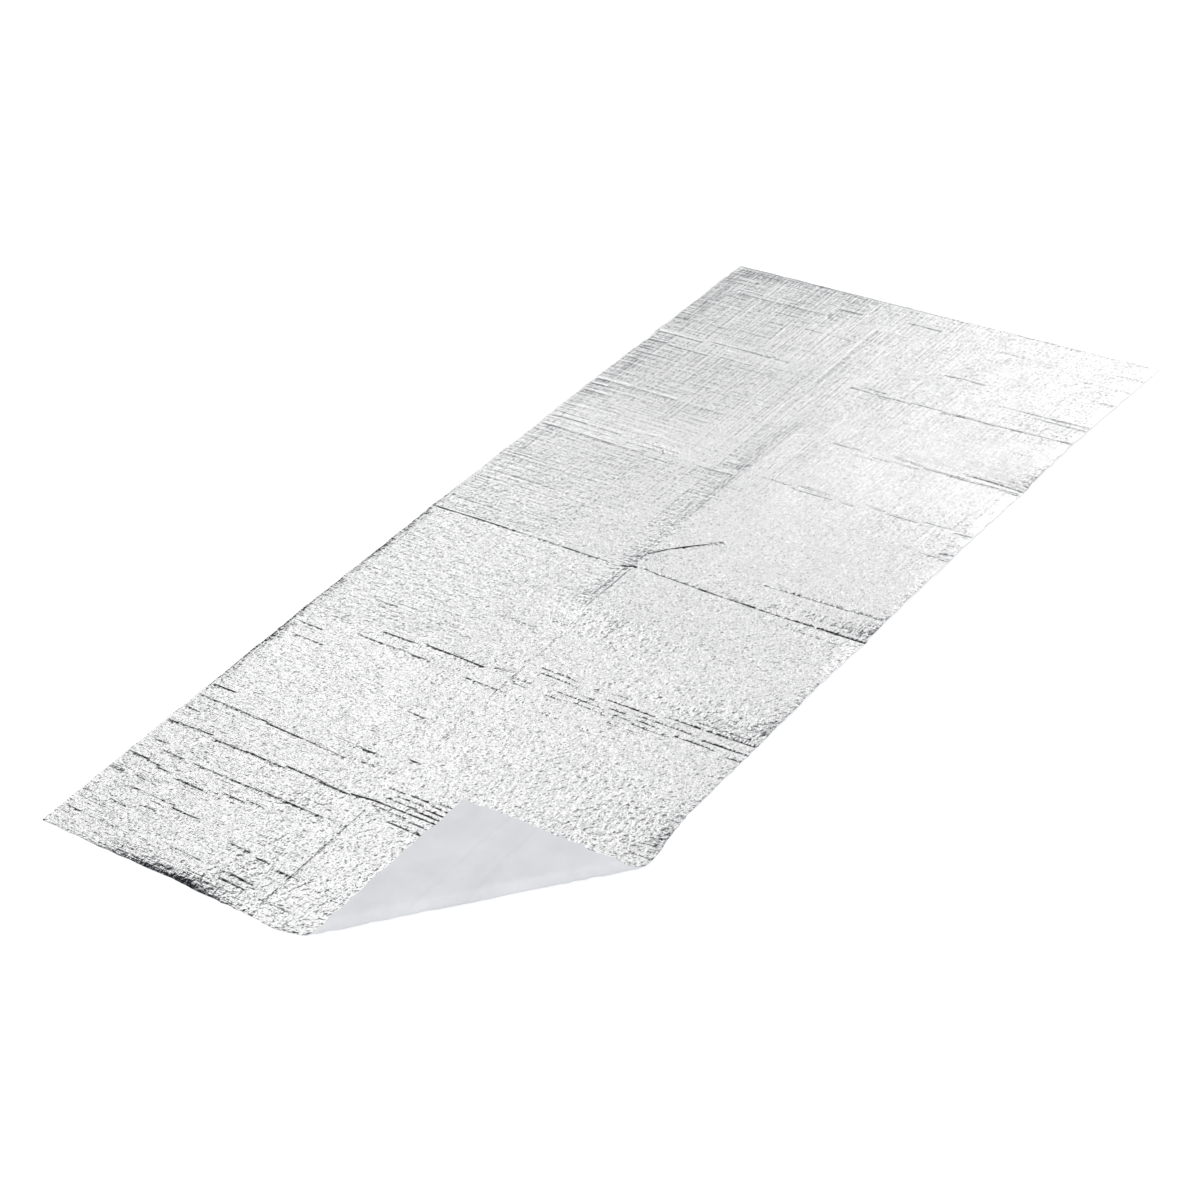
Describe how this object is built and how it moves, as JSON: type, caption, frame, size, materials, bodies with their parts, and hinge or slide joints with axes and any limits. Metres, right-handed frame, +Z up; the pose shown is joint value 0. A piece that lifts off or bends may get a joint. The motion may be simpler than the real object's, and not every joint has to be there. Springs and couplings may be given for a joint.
{
  "type": "camping ground sheet",
  "caption": "Thin foil-faced foam sheet lying flat with packing creases and one corner turned back; goes under a sleeper or tent to keep out damp and cold.",
  "frame": {"origin": "on the floor, under the middle of the sheet's box", "axes": "+Z up, +Y along the sheet's length towards its far edge, +X across it towards the side of the turned corner"},
  "size_m": [1.0114, 2.0002, 0.023],
  "materials": {
    "foil": "bright crinkled foil on white foam"
  },
  "bodies": {
    "root": {"ground_sheet": "foil"}
  },
  "joints": []
}
